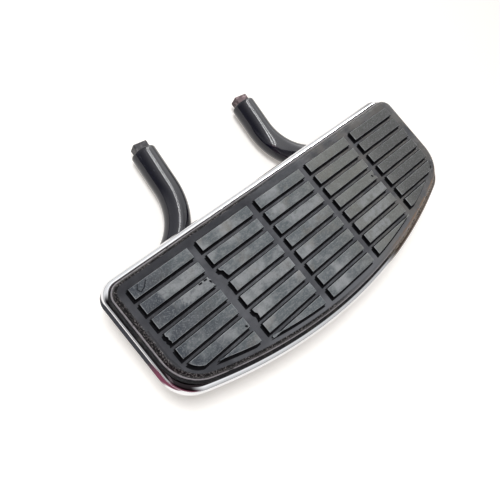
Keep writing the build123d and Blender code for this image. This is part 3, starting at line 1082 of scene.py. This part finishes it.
@dataclass(frozen=True)
class RibRaiser:
    """Geometry nodes that raise marked faces into ribs with leaning walls and rounded edges."""

    height: float
    edge: float
    draft: float
    round_steps: int = 3

    def apply(self, piece: Object, material: Material) -> None:
        """Give the piece the tree as a modifier.

        Args:
            piece: object whose faces are marked by "rib" and its rims by "inward".
            material: finish of the whole piece.
        """
        tree = bpy.data.node_groups.new("raise_ribs", "GeometryNodeTree")
        tree.interface.new_socket("Geometry", in_out="INPUT", socket_type="NodeSocketGeometry")
        sizes = {"Height": self.height, "Edge": self.edge, "Draft": self.draft}
        identifiers = {}
        for name in sizes:
            socket = tree.interface.new_socket(name, in_out="INPUT", socket_type="NodeSocketFloat")
            identifiers[name] = socket.identifier
        tree.interface.new_socket("Geometry", in_out="OUTPUT", socket_type="NodeSocketGeometry")
        given = add_node(tree, "NodeGroupInput")
        inward = add_node(tree, "GeometryNodeInputNamedAttribute", {"Name": "inward"},
                          data_type="FLOAT_VECTOR")
        rib = add_node(tree, "GeometryNodeInputNamedAttribute", {"Name": "rib"}, data_type="INT")
        chosen: object = add_node(tree, "FunctionNodeCompare", {2: rib, 3: 0},
                                  data_type="INT", operation="GREATER_THAN")
        geometry: object = given.outputs["Geometry"]
        wall = add_node(tree, "ShaderNodeMath", {0: given.outputs["Height"], 1: given.outputs["Edge"]},
                        operation="SUBTRACT")
        moves = [(given.outputs["Draft"], wall)]
        for step in range(self.round_steps):
            start = math.pi / 2 * step / self.round_steps
            end = math.pi / 2 * (step + 1) / self.round_steps
            shares = (math.cos(start) - math.cos(end), math.sin(end) - math.sin(start))
            moves.append(tuple(add_node(tree, "ShaderNodeMath", {0: given.outputs["Edge"], 1: share},
                                        operation="MULTIPLY") for share in shares))
        for inset, rise in moves:
            grown = add_node(tree, "GeometryNodeExtrudeMesh", {
                "Mesh": geometry, "Selection": chosen, "Offset Scale": 0.0, "Individual": False})
            side = add_node(tree, "ShaderNodeVectorMath", {0: inward, "Scale": inset}, operation="SCALE")
            metres = add_node(tree, "ShaderNodeMath", {0: rise, 1: MM}, operation="MULTIPLY")
            up = add_node(tree, "ShaderNodeCombineXYZ", {"Z": metres})
            offset = add_node(tree, "ShaderNodeVectorMath", {0: side, 1: up}, operation="ADD")
            chosen = grown.outputs["Top"]
            geometry = add_node(tree, "GeometryNodeSetPosition", {
                "Geometry": grown, "Selection": chosen, "Offset": offset})
        plain = add_node(tree, "GeometryNodeRealizeInstances", {0: geometry})
        dressed = add_node(tree, "GeometryNodeSetMaterial", {"Geometry": plain, "Material": material})
        add_node(tree, "NodeGroupOutput", {"Geometry": dressed})
        modifier = piece.modifiers.new("ribs", "NODES")
        modifier.node_group = tree
        for name, value in sizes.items():
            modifier[identifiers[name]] = value


@dataclass
class Pan:
    """The chrome tray under the pad."""

    outline: HalfMoon
    finishes: Finishes
    top: float = -12.5
    wall: float = 2.0
    depth: float = 10.5
    edge: float = 5.0
    hem: float = 0.5
    hole_radius: float = 6.5
    holes: Sequence[Point2] = ((-60, -8), (60, -8), (-122, -66), (122, -66))
    hole_steps: int = 48
    corner_steps: int = 24
    arc_steps: int = 120

    def section(self) -> list[Point2]:
        """Give the section from the top's rim round the skirt to the underside's rim.

        Returns:
            Pairs of inset and level.
        """
        foot = self.top - self.depth
        outside = rounded(self.edge, self.top - self.edge, self.edge, 90, 180, 14)
        inner = self.edge - self.wall
        inside = rounded(self.edge, self.top - self.edge, inner, 180, 90, 8)
        hem_out = rounded(self.hem, foot + self.hem, self.hem, 180, 270, 4)
        hem_in = rounded(self.wall - self.hem, foot + self.hem, self.hem, 270, 360, 4)
        return outside + hem_out + hem_in + inside

    def build(self) -> Object:
        """Make the tray as one closed shell.

        Returns:
            The finished piece.
        """
        bm = bmesh.new()
        steps = {"corner_steps": self.corner_steps, "arc_steps": self.arc_steps}
        loft_section(bm, self.outline, self.section(), **steps)
        rim = self.outline.inset(self.edge).ring(**steps)
        holes = [arc_points(centre, self.hole_radius, 0.0, math.tau, self.hole_steps)
                 for centre in self.holes]
        region = FlatRegion(rim, holes=holes)
        fill_flat(bm, region, self.top)
        fill_flat(bm, region, self.top - self.wall)
        for hole in holes:
            loft(bm, [BOARD.lay(hole, level) for level in (self.top, self.top - self.wall)])
        closed(bm)
        pan = mesh_object("chrome_pan", bm, self.finishes.chrome)
        return settle(pan, Body.BOARD, Slot.CHROME, "base_pan")


@dataclass(frozen=True)
class Turned:
    """A straight level axis with rings across it, for pins, tangs and threads, in the part's millimetres."""

    start: Vector
    heading: Vector
    steps: int = 72

    def point(self, distance: float, across: float, up: float) -> Vector:
        """Give a point beside the axis, in the part's frame.

        Args:
            distance: place along the axis.
            across: offset to its level side.
            up: offset square to both.

        Returns:
            The point, in metres.
        """
        side = Vector((self.heading.y, -self.heading.x, 0)).normalized()
        rise = self.heading.cross(side)
        return (self.start + self.heading * distance + side * across + rise * up) * MM

    def circle(self, distance: float, radius: float, angles: Sequence[float] = ()) -> list[Vector]:
        """Give a round ring.

        Args:
            distance: place along the axis.
            radius: its radius.
            angles: angles to use in place of even ones.

        Returns:
            The ring's points.
        """
        used = angles or [2 * math.pi * i / self.steps for i in range(self.steps)]
        return [self.point(distance, radius * math.cos(a), radius * math.sin(a)) for a in used]

    def thread(self, first: float, last: float, radius: float, depth: float,
               pitch: float) -> list[list[Vector]]:
        """Give the rings of a helical thread that runs out at both ends.

        Args:
            first: where the thread begins along the axis.
            last: where it ends.
            radius: radius of its crests.
            depth: depth of its roots, negative for a tapped hole.
            pitch: distance from crest to crest.

        Returns:
            The rings in order.
        """
        count = max(2, round((last - first) / pitch * RINGS_PER_PITCH))
        rings = []
        for k in range(count + 1):
            distance = first + (last - first) * k / count
            fade = min(1.0, k / RUN_OUT_RINGS, (count - k) / RUN_OUT_RINGS)
            ring = []
            for i in range(self.steps):
                turn = (distance / pitch - i / self.steps) % 1.0
                cut = depth * fade * (1 - abs(2 * turn - 1))
                angle = 2 * math.pi * i / self.steps
                here = radius - cut
                ring.append(self.point(distance, here * math.cos(angle), here * math.sin(angle)))
            rings.append(ring)
        return rings


@dataclass(frozen=True)
class Tang:
    """Rectangular key on an arm's free end, with a tapped hole."""

    length: float = 7.0
    width: float = 13.0
    height: float = 10.5
    edge: float = 0.8
    corner: float = 0.9
    least_corner: float = 0.2
    corner_points: int = 5
    root_length: float = 0.3
    root_flare: float = 0.4
    hole_radius: float = 3.4
    hole_depth: float = 24.0
    hole_pitch: float = 1.25
    hole_mouth: float = 0.6
    hole_tip_radius: float = 0.3
    thread_depth: float = 0.35
    thread_start: float = 0.9
    thread_end: float = 1.0

    def outline(self, inset: float, steps: int) -> list[Point2]:
        """Walk the rounded rectangle with a fixed count of points.

        Args:
            inset: how far it is drawn in.
            steps: count of points, a multiple of four.

        Returns:
            Offsets across and up, counterclockwise.
        """
        radius = max(self.least_corner, self.corner - inset)
        far_x, far_y = self.width / 2 - inset - radius, self.height / 2 - inset - radius
        centres = ((far_x, far_y), (-far_x, far_y), (-far_x, -far_y), (far_x, -far_y))
        side_steps = steps // 4 - self.corner_points + 1
        points: list[Point2] = []
        for k, centre in enumerate(centres):
            start, end = math.pi / 2 * k, math.pi / 2 * (k + 1)
            points += arc_points(centre, radius, start, end, self.corner_points - 1)
            here = arc_points(centre, radius, end, end, 1)[0]
            goal = arc_points(centres[(k + 1) % 4], radius, end, end, 1)[0]
            for i in range(side_steps):
                share = i / side_steps
                points.append((here[0] + (goal[0] - here[0]) * share, here[1] + (goal[1] - here[1]) * share))
        return points

    def rings(self, axis: Turned) -> tuple[list[list[Vector]], list[float]]:
        """Give the rings from the bottom of the hole over the tang to its root.

        Args:
            axis: axis that starts at the tang's root and points into the bar.

        Returns:
            The rings, and the angles of their points.
        """
        face = -self.length
        bottom = face + self.hole_depth
        angles = [math.atan2(up, across) for across, up in self.outline(0, axis.steps)]
        hole = [axis.circle(bottom, self.hole_tip_radius)]
        hole += axis.thread(face + self.thread_start, bottom - self.thread_end, self.hole_radius,
                            -self.thread_depth, self.hole_pitch)[::-1]
        hole.append(axis.circle(face + self.hole_mouth, self.hole_radius, angles))
        hole.append(axis.circle(face, self.hole_radius + self.hole_mouth, angles))
        shapes = [(face, self.edge), (face + self.edge * 0.3, self.edge * 0.3), (face + self.edge, 0.0),
                  (-self.root_length, 0.0), (0.0, -self.root_flare)]
        key = [[axis.point(at, x, y) for x, y in self.outline(inset, axis.steps)] for at, inset in shapes]
        return hole + key, angles


@dataclass
class BentArm:
    """One round-bar arm from its tang to its threaded pin, with its stop toe.

    Faces that lie farther out than bare_from, measured from the tang's root, carry no coat.
    """

    end: End
    tang_face: Vector
    outward: Vector
    hinge: Vector
    bend_radius: float
    leg: float
    coat: Material
    bare: Material
    tang: Tang = field(default_factory=Tang)
    radius: float = 11.0
    chamfer: float = 2.0
    pin_radius: float = 7.0
    thread_radius: float = 6.0
    pin_length: float = 23.6
    end_length: float = 35.1
    pitch: float = 1.75
    thread_depth: float = 0.8
    thread_start: float = 0.3
    thread_end: float = 1.0
    end_chamfer: float = 0.9
    shoulder_edge: float = 0.6
    shoulder_gap: float = 0.2
    fillet: float = 0.4
    fillet_length: float = 0.1
    pin_chamfer: float = 0.5
    toe_width: float = 10.0
    toe_set_in: float = 1.0
    toe_root: float = 9.5
    toe_reach: float = 27.0
    toe_pad: float = 9.0
    toe_pad_depth: float = 5.0
    toe_top: float = 34.2
    toe_round: float = 0.7
    toe_steps: int = 24
    rim_steps: int = 6
    straight_steps: int = 8
    bend_steps: int = 48
    ring_steps: int = 72
    bare_from: float = 0.1

    def centre_line(self) -> list[tuple[Vector, Vector]]:
        """Give points and directions along the bar, in millimetres, from the tang's root.

        Returns:
            Pairs of a point and a direction.
        """
        inward = -self.outward
        toe = math.asin(self.outward.x)
        root = self.tang_face + inward * self.tang.length
        reach = root.y - self.hinge.y
        straight = (reach - self.bend_radius * (1 + self.end.value * math.sin(toe))) / math.cos(toe)
        bend_start = root + inward * straight
        towards = Vector((self.end.value * math.cos(toe), -self.end.value * math.sin(toe), 0))
        centre = bend_start + towards * self.bend_radius
        total = math.pi / 2 + self.end.value * toe
        stations = [(root + inward * straight * i / self.straight_steps, inward)
                    for i in range(self.straight_steps)]
        for i in range(self.bend_steps + 1):
            angle = total * i / self.bend_steps
            point = centre + (inward * math.sin(angle) - towards * math.cos(angle)) * self.bend_radius
            stations.append((point, inward * math.cos(angle) + towards * math.sin(angle)))
        return stations

    def free_end(self, root: Vector, inward: Vector) -> list[list[Vector]]:
        """Give the rings of the tang, the shoulder face and the bar's rounded rim.

        Args:
            root: the tang's root.
            inward: the way into the bar.

        Returns:
            The rings in order.
        """
        axis = Turned(root, inward, self.ring_steps)
        rings, angles = self.tang.rings(axis)
        rings.append(axis.circle(0.0, self.radius - self.chamfer - self.shoulder_gap, angles))
        for i in range(self.rim_steps + 1):
            angle = math.pi / 2 * i / self.rim_steps
            along = self.chamfer * (1 - math.cos(angle))
            rings.append(axis.circle(along, self.radius - self.chamfer * (1 - math.sin(angle))))
        return rings

    def turned_end(self, shoulder: Vector, heading: Vector) -> list[list[Vector]]:
        """Give the rings of the leg, the pin and its thread.

        Args:
            shoulder: middle of the shoulder face.
            heading: the way to the pin's end.

        Returns:
            The rings in order.
        """
        axis = Turned(shoulder, heading, self.ring_steps)
        edge, chamfer, long = self.shoulder_edge, self.pin_chamfer, self.pin_length
        plain = [(-self.leg / 2, self.radius), (-edge, self.radius), (0.0, self.radius - edge),
                 (0.0, self.pin_radius + self.fillet), (self.fillet_length, self.pin_radius),
                 (long - chamfer, self.pin_radius), (long, self.pin_radius - chamfer),
                 (long, self.thread_radius)]
        rings = [axis.circle(at, radius) for at, radius in plain]
        rings += axis.thread(long + self.thread_start, self.end_length - self.thread_end,
                             self.thread_radius, self.thread_depth, self.pitch)
        rings.append(axis.circle(self.end_length, self.thread_radius - self.end_chamfer))
        return rings

    def toe_shell(self, bm: BMesh, shoulder: Vector) -> None:
        """Add the forged toe that bears on the bracket, as a closed shell with rounded edges.

        Args:
            bm: mesh that takes the faces.
            shoulder: middle of the pin's shoulder face.
        """
        top = self.toe_top
        pad_y = self.hinge.y - self.toe_reach
        corners = [(pad_y - self.toe_pad / 2, top), (pad_y + self.toe_pad / 2, top)]
        right = self.tangent(corners[1], 1)
        left = self.tangent((pad_y - self.toe_pad / 2, top - self.toe_pad_depth), -1)
        if left > right:
            left -= 2 * math.pi
        arc = arc_points((self.hinge.y, 0.0), self.toe_root, right, left, self.toe_steps, whole=True)
        profile = [corners[0], corners[1], *arc, (pad_y - self.toe_pad / 2, top - self.toe_pad_depth)]
        low = shoulder.x - self.end.value * (self.toe_set_in + self.toe_width)
        high = shoulder.x - self.end.value * self.toe_set_in
        rings = [[Vector((x, y, z + self.hinge.z)) * MM for y, z in profile] for x in (low, high)]
        rows = loft(bm, rings)
        caps = [bm.faces.new(rows[0]), bm.faces.new(rows[-1])]
        rims = [edge for cap in caps for edge in cap.edges]
        bmesh.ops.bevel(bm, geom=rims, offset=self.toe_round * MM, segments=3, affect="EDGES", profile=0.5)

    def tangent(self, corner: Point2, hand: int) -> float:
        """Give the angle where a line from a corner touches the root circle on one hand."""
        dy, dz = corner[0] - self.hinge.y, corner[1]
        return math.atan2(dz, dy) - hand * math.acos(self.toe_root / math.hypot(dy, dz))

    def build(self) -> Object:
        """Make the bar with its ends and toe.

        Returns:
            The finished piece.
        """
        bm = bmesh.new()
        line = self.centre_line()
        rings = self.free_end(*line[0])
        rings += [self.bar_ring(point, heading) for point, heading in line[1:]]
        end, heading = line[-1]
        shoulder = end + heading * self.leg
        rings += self.turned_end(shoulder, heading)
        rows = loft(bm, rings)
        bm.faces.new(rows[0])
        bm.faces.new(rows[-1])
        self.toe_shell(bm, shoulder)
        closed(bm)
        name = self.end.name.lower()
        arm = mesh_object(f"{name}_bent_arm", bm, self.coat)
        arm.data.materials.append(self.bare)
        root = line[0][0]
        for face in arm.data.polygons:
            beyond = (face.center / MM - root).dot(self.outward)
            if beyond > self.bare_from:
                face.material_index = 1
        return settle(arm, Body.ARMS, Slot.COAT, f"{name}_arm")

    def bar_ring(self, point: Vector, heading: Vector) -> list[Vector]:
        """Give one round ring of the bar."""
        return Turned(point, heading, self.ring_steps).circle(0.0, self.radius)


def refined_copy(node: str, name: str, material: Material) -> Object:
    """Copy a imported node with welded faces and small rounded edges.

    Args:
        node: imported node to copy.
        name: name of the piece.
        material: its finish.

    Returns:
        The piece, with a plain mesh.
    """
    bm = bmesh.new()
    bm.from_mesh(frame["nodes"][node].data)
    bmesh.ops.remove_doubles(bm, verts=bm.verts, dist=PACKED_WELD_DISTANCE)
    bmesh.ops.dissolve_limit(bm, angle_limit=FLAT_ANGLE, verts=bm.verts, edges=bm.edges)
    piece = mesh_object(name, bm, material)
    modifier = piece.modifiers.new("edges", "BEVEL")
    modifier.width = EDGE_ROUND_MM * MM
    modifier.segments = 2
    modifier.limit_method = "ANGLE"
    modifier.angle_limit = SHARP_ANGLE
    return bake_modifiers(piece)


@dataclass(frozen=True)
class Glow:
    """One soft side of the studio that glossy surfaces mirror, rising along an axis of the direction."""

    axis: Axis
    start: float
    end: float
    level: float


@dataclass(frozen=True)
class Strip:
    """A long lamp across the studio that only glossy surfaces mirror.

    Its lean is measured in degrees from overhead to the rear.
    """

    lean: float
    half_width: float
    level: float


@dataclass(frozen=True)
class Card:
    """A card on the floor that only glossy surfaces mirror, in board millimetres with a soft edge.

    With a slant its front and rear edges lean forward as they go outboard.
    """

    colour: str
    front: float
    rear: float
    outboard: float
    inboard: float
    slant: float = 0.0
    soft: float = 12.0

    def lay(self, tree: NodeTree, surface: Node, glossy: NodeSocket) -> Node:
        """Lay the card over the floor's shader for glossy rays alone.

        Args:
            tree: the floor's shader tree.
            surface: shader below the card.
            glossy: one for a glossy ray.

        Returns:
            The shader with the card on it.
        """
        at = add_node(tree, "ShaderNodeSeparateXYZ", {0: BOARD.coordinates(tree)})
        along = add_node(tree, "ShaderNodeMath", {
            0: at.outputs["Y"], 1: -self.slant, 2: at.outputs["X"]}, operation="MULTIPLY_ADD")
        share: object = glossy
        for place, edge, soft in ((along, self.front, self.soft), (along, self.rear, -self.soft),
                                  (at.outputs["Y"], self.outboard, self.soft),
                                  (at.outputs["Y"], self.inboard, -self.soft)):
            inside = add_node(tree, "ShaderNodeMapRange", {
                "Value": place, "From Min": edge, "From Max": edge + soft})
            share = add_node(tree, "ShaderNodeMath", {0: share, 1: inside}, operation="MULTIPLY")
        paper = add_node(tree, "ShaderNodeEmission", {"Color": self.colour})
        return add_node(tree, "ShaderNodeMixShader", {0: share, 1: surface, 2: paper})


@dataclass
class Studio:
    """Floor, lamp, world and camera.

    The strips run across the studio, turned from its width by their skew. The wine side is the
    direction of something wine red that the photographed chrome mirrors, from its rim to its middle
    measured as the cosine of the angle from it. The haze at the horizon is what is left of the
    mirrored light there, and its height is that of the direction where the haze ends.
    """

    camera_at: Vector
    camera_x: Vector
    camera_y: Vector
    camera_z: Vector
    lens: float = 41.24
    floor_level: float = -66.0
    floor_size: float = 4.0
    floor_colour: str = "#f2f1ef"
    floor_lift: float = 0.28
    lift_colour: str = "#fff6ee"
    ambient: float = 0.42
    key_at: Sequence[float] = (-0.43, 0.27, 1.4)
    key_aim: Sequence[float] = (0.0, -40.0, 0.0)
    key_size: float = 0.42
    key_watts: float = 16.0
    dim: float = 0.13
    haze: float = 0.15
    haze_height: float = 0.12
    glows: Sequence[Glow] = (Glow(X, 0.68, 0.93, 1.1), Glow(Y, 0.3, 0.75, 0.8),
                             Glow(Y, -0.3, -0.8, 0.5), Glow(X, -0.88, -0.97, 0.45))
    strips: Sequence[Strip] = (Strip(-21.5, 3.0, 34.0), Strip(-7.0, 2.4, 34.0), Strip(4.0, 84.0, 2.5))
    strip_skew: float = 2.1
    cards: Sequence[Card] = (Card("#4c4c50", -330.0, -150.0, -70.0, 40.0),
                             Card("#8a4f62", -700.0, -103.0, -330.0, -45.0, slant=0.95))
    wine: str = "#8d5467"
    wine_side: Sequence[float] = (-0.66, -0.68, 0.3)
    wine_rim: float = 0.8
    wine_middle: float = 0.92

    def build(self) -> None:
        """Set the whole studio up."""
        self.floor()
        self.world()
        self.lamp()
        self.camera()
        bpy.context.scene.view_settings.view_transform = "Standard"

    def floor(self) -> None:
        """Lay a wide pale floor just under the part, lifted to white where no shadow falls."""
        bm = bmesh.new()
        bmesh.ops.create_grid(bm, x_segments=1, y_segments=1, size=self.floor_size)
        bm.transform(Matrix.Translation(BOARD.place(0, 0, self.floor_level)))
        material = bpy.data.materials.new("pale_floor")
        tree = emptied(material)
        matt = add_node(tree, "ShaderNodeBsdfDiffuse", {"Color": self.floor_colour})
        ray = add_node(tree, "ShaderNodeLightPath")
        seen = add_node(tree, "ShaderNodeMath", {
            0: ray.outputs["Is Camera Ray"], 1: ray.outputs["Is Glossy Ray"]}, operation="MAXIMUM")
        lift = add_node(tree, "ShaderNodeMath", {0: seen, 1: self.floor_lift}, operation="MULTIPLY")
        glow = add_node(tree, "ShaderNodeEmission", {"Color": self.lift_colour, "Strength": lift})
        surface = add_node(tree, "ShaderNodeAddShader", {0: matt, 1: glow})
        for card in self.cards:
            surface = card.lay(tree, surface, ray.outputs["Is Glossy Ray"])
        add_node(tree, "ShaderNodeOutputMaterial", {"Surface": surface})
        mesh_object("floor", bm, material)

    def world(self) -> None:
        """Light all round plainly, white to the camera, with glows, strips and wine for glossy rays."""
        world = bpy.data.worlds.new("studio")
        bpy.context.scene.world = world
        tree = emptied(world)
        ray = add_node(tree, "ShaderNodeLightPath")
        way = add_node(tree, "ShaderNodeTexCoord").outputs["Generated"]
        axes = add_node(tree, "ShaderNodeSeparateXYZ", {0: way})
        ramps = [(axes.outputs[glow.axis.value], glow.start, glow.end, glow.level) for glow in self.glows]
        skewed = add_node(tree, "ShaderNodeMath", {
            0: axes.outputs["Y"], 1: -self.strip_skew, 2: axes.outputs["X"]}, operation="MULTIPLY_ADD")
        lean = add_node(tree, "ShaderNodeMath", {0: skewed, 1: axes.outputs["Z"]}, operation="ARCTAN2")
        for strip in self.strips:
            off = add_node(tree, "ShaderNodeMath", {0: lean, 1: math.radians(strip.lean)},
                           operation="SUBTRACT")
            size = add_node(tree, "ShaderNodeMath", {0: off}, operation="ABSOLUTE")
            ramps.append((size, math.radians(strip.half_width), 0.0, strip.level))
        total: object = self.dim
        for source, start, end, level in ramps:
            share = add_node(tree, "ShaderNodeMapRange", {
                "Value": source, "From Min": start, "From Max": end, "To Max": level},
                interpolation_type="SMOOTHSTEP")
            total = add_node(tree, "ShaderNodeMath", {0: share, 1: total}, operation="ADD")
        clear = add_node(tree, "ShaderNodeMapRange", {
            "Value": axes.outputs["Z"], "From Min": 0.0, "From Max": self.haze_height, "To Min": self.haze})
        mirrored = add_node(tree, "ShaderNodeMath", {0: total, 1: clear}, operation="MULTIPLY")
        aim = add_node(tree, "ShaderNodeVectorMath", {
            0: way, 1: Vector(self.wine_side).normalized()}, operation="DOT_PRODUCT")
        near = add_node(tree, "ShaderNodeMapRange", {
            "Value": aim.outputs["Value"], "From Min": self.wine_rim, "From Max": self.wine_middle},
            interpolation_type="SMOOTHSTEP")
        tint = add_node(tree, "ShaderNodeMix", {0: near, 6: WHITE, 7: self.wine}, data_type="RGBA")
        strength = add_node(tree, "ShaderNodeMix", {0: near, 2: mirrored, 3: 1.0})
        shown = add_node(tree, "ShaderNodeBackground", {"Color": WHITE, "Strength": self.ambient})
        for seen_by, colour, level in (("Is Glossy Ray", tint.outputs[2], strength),
                                       ("Is Camera Ray", WHITE, 1.0)):
            light = add_node(tree, "ShaderNodeBackground", {"Color": colour, "Strength": level})
            shown = add_node(tree, "ShaderNodeMixShader", {0: ray.outputs[seen_by], 1: shown, 2: light})
        add_node(tree, "ShaderNodeOutputWorld", {0: shown})

    def lamp(self) -> None:
        """Hang the key softbox, steep, from the inboard front; glossy rays miss it."""
        light = bpy.data.lights.new("key_softbox", "AREA")
        light.shape = "SQUARE"
        light.size = self.key_size
        light.energy = self.key_watts
        lamp = linked("key_softbox", light)
        lamp.location = BOARD.place(*self.key_aim) + Vector(self.key_at)
        lamp.rotation_euler = (-Vector(self.key_at)).to_track_quat("-Z", "Y").to_euler()
        lamp.visible_glossy = False

    def camera(self) -> None:
        """Set the camera where the photograph was taken from."""
        data = bpy.data.cameras.new("photo_camera")
        data.sensor_width = 36.0
        data.lens = self.lens
        data.clip_start = 0.01
        camera = linked("photo_camera", data)
        axes = (self.camera_x, self.camera_y, self.camera_z, BOARD.place(*self.camera_at))
        camera.matrix_world = Matrix([[axis[row] for axis in axes] for row in range(3)] + [[0, 0, 0, 1]])
        bpy.context.scene.camera = camera


def main() -> None:
    """Build every piece in order and report it."""
    logging.basicConfig(level=logging.INFO, format="%(message)s")
    finishes = Finishes()
    Studio(
        camera_at=Vector((-269.17 + TREAD_MIDDLE, -50.66, 361.82)),
        camera_x=Vector((0.68475, -0.63265, 0.36176)),
        camera_y=Vector((0.52578, 0.77259, 0.35589)),
        camera_z=Vector((-0.50464, -0.05348, 0.86167)),
    ).build()
    pan_outline = HalfMoon(half_length=165.0, inboard_y=TREAD_INSET, outboard_y=-110.9, arc_radius=435.0,
                           inboard_corner=14.5, outboard_corner=27.0)
    Pan(pan_outline, finishes).build()
    pad_outline = replace(pan_outline.inset_sides(end=3.9, inboard=6.0, outboard=6.9),
                          inboard_corner=10.6, outboard_corner=32.0)
    tread_outline = HalfMoon(half_length=148.0, inboard_y=0.0, outboard_y=-95.8, arc_radius=393.0,
                             inboard_corner=0.0, outboard_corner=15.0, middle=TREAD_MIDDLE,
                             stretch=LAST_RIB_EXTRA)
    Tread(pad_outline, tread_outline, finishes).build()
    mounts = {m["name"]: m for m in frame["record"]["mounts"]}
    hinge = Vector(frame["joints"][0]["pos_m"]) / MM
    arms = ((End.FRONT, 60.5, 4.0, finishes.front_tang), (End.REAR, 48.5, 9.5, finishes.rear_tang))
    for end, bend_radius, leg, bare in arms:
        mount = mounts[f"{end.name.lower()}_arm_bolt"]
        BentArm(end, Vector(mount["pos_m"]) / MM, Vector(mount["axis"]).normalized(), hinge,
                bend_radius, leg, finishes.coat, bare).build()
    by_slot = {Slot.PLATE: finishes.primer, Slot.PAINT: finishes.bracket, Slot.ZINC: finishes.zinc,
               Slot.ISOLATOR: finishes.isolator, Slot.BUSH: finishes.nylon}
    bodies = {node: body for body, nodes in frame["record"]["behaviour"]["bodies"].items() for node in nodes}
    for part in frame["record"]["subparts"]:
        slot = Slot(part["material_slot"])
        if slot in by_slot:
            node = part["node"]
            piece = refined_copy(node, f"{node}_dressed", by_slot[slot])
            settle(piece, Body(bodies[node]), slot, node)


if __name__ == "__main__":
    main()
